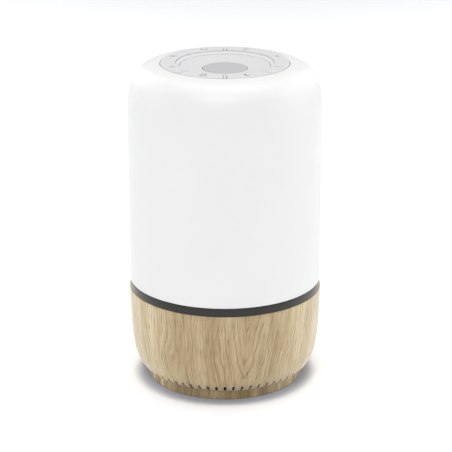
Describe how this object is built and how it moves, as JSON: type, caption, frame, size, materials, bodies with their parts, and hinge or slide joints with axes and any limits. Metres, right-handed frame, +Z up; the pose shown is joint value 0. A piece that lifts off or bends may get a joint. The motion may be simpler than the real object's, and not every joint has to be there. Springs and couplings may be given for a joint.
{
  "type": "smart speaker",
  "caption": "Table-top cylindrical smart speaker and night light: opal shade, ring of keys and centre button on top, dark trim band, oak base with sound slots.",
  "frame": {"origin": "on the floor under the body's axis, at the bottom of the rubber pad", "axes": "+Z up along the body's axis, -Y towards the front, +X to the front's right, power inlet towards +Y"},
  "size_m": [0.1258, 0.1258, 0.2124],
  "materials": {
    "opal": "opal white satin",
    "panel_grey": "pale grey satin",
    "button_grey": "light grey satin",
    "charcoal": "charcoal satin",
    "oak": "light oak, clear matt",
    "rubber_black": "matt",
    "steel": "plated",
    "aluminium": "mill",
    "board_green": "solder mask",
    "silicone": "translucent silicone",
    "frosted": "frosted",
    "copper": "copper winding and foil",
    "inner_black": "black moulding"
  },
  "bodies": {
    "housing": {"opal_shade": "opal", "trim_band": "charcoal", "base_shell": "oak", "foot_ring": "oak", "rubber_pad": "rubber_black", "bottom_cover": "charcoal", "cover_screws": "steel", "control_frame": "charcoal", "bevel_ring": "panel_grey", "dish_plate": "panel_grey", "bridge_strips": "panel_grey", "pivot_ears": "charcoal", "pin_light": "steel", "pin_volume": "steel", "control_board": "board_green", "rocker_switches": "inner_black", "dome_front_left": "silicone", "dome_front_right": "silicone", "dome_back_left": "silicone", "dome_back_right": "silicone", "dome_centre": "silicone", "top_tray": "frosted", "light_post": "aluminium", "led_strips": "board_green", "led_packages": "frosted", "inner_diffuser": "frosted", "reflector_disc": "opal", "mid_deck": "charcoal", "baffle_plate": "inner_black", "driver_gasket": "rubber_black", "driver_frame": "steel", "driver_magnet": "steel", "surround": "rubber_black", "spider": "copper", "acoustic_cup": "inner_black", "sound_deflector": "inner_black", "main_board": "board_green", "board_parts": "inner_black", "wireless_shield": "aluminium", "inlet_panel": "charcoal", "power_inlet": "steel", "ribbon_cable": "copper"},
    "key_front_left": {"key_front_left": "panel_grey"},
    "key_front_right": {"key_front_right": "panel_grey"},
    "key_back_left": {"key_back_left": "panel_grey"},
    "key_back_right": {"key_back_right": "panel_grey"},
    "rocker_light": {"rocker_light": "panel_grey"},
    "rocker_volume": {"rocker_volume": "panel_grey"},
    "centre_button": {"centre_button": "button_grey"},
    "cone": {"driver_cone": "inner_black", "dust_cap": "inner_black", "voice_coil": "copper"}
  },
  "joints": [
    {"name": "front_left_press", "type": "slide", "parent": "housing", "child": "key_front_left", "axis": [0, 0, -1], "range_m": [0, 0.0006], "stiffness_N_per_m": 500, "springref_m": -0.001, "deforming": ["dome_front_left"]},
    {"name": "front_right_press", "type": "slide", "parent": "housing", "child": "key_front_right", "axis": [0, 0, -1], "range_m": [0, 0.0006], "stiffness_N_per_m": 500, "springref_m": -0.001, "deforming": ["dome_front_right"]},
    {"name": "back_left_press", "type": "slide", "parent": "housing", "child": "key_back_left", "axis": [0, 0, -1], "range_m": [0, 0.0006], "stiffness_N_per_m": 500, "springref_m": -0.001, "deforming": ["dome_back_left"]},
    {"name": "back_right_press", "type": "slide", "parent": "housing", "child": "key_back_right", "axis": [0, 0, -1], "range_m": [0, 0.0006], "stiffness_N_per_m": 500, "springref_m": -0.001, "deforming": ["dome_back_right"]},
    {"name": "centre_press", "type": "slide", "parent": "housing", "child": "centre_button", "axis": [0, 0, -1], "range_m": [0, 0.0008], "stiffness_N_per_m": 500, "springref_m": -0.001, "deforming": ["dome_centre"]},
    {"name": "light_rock", "type": "hinge", "parent": "housing", "child": "rocker_light", "pos_m": [-0.03614, 0, 0.2076], "axis": [1, 0, 0], "range_deg": [-1.5, 1.5], "stiffness_Nm_per_rad": 0.5},
    {"name": "volume_rock", "type": "hinge", "parent": "housing", "child": "rocker_volume", "pos_m": [0.03614, 0, 0.2076], "axis": [1, 0, 0], "range_deg": [-1.5, 1.5], "stiffness_Nm_per_rad": 0.5},
    {"name": "cone_stroke", "type": "slide", "parent": "housing", "child": "cone", "axis": [0, 0, 1], "range_m": [-0.0015, 0.0015], "stiffness_N_per_m": 1500, "deforming": ["surround", "spider"]}
  ]
}
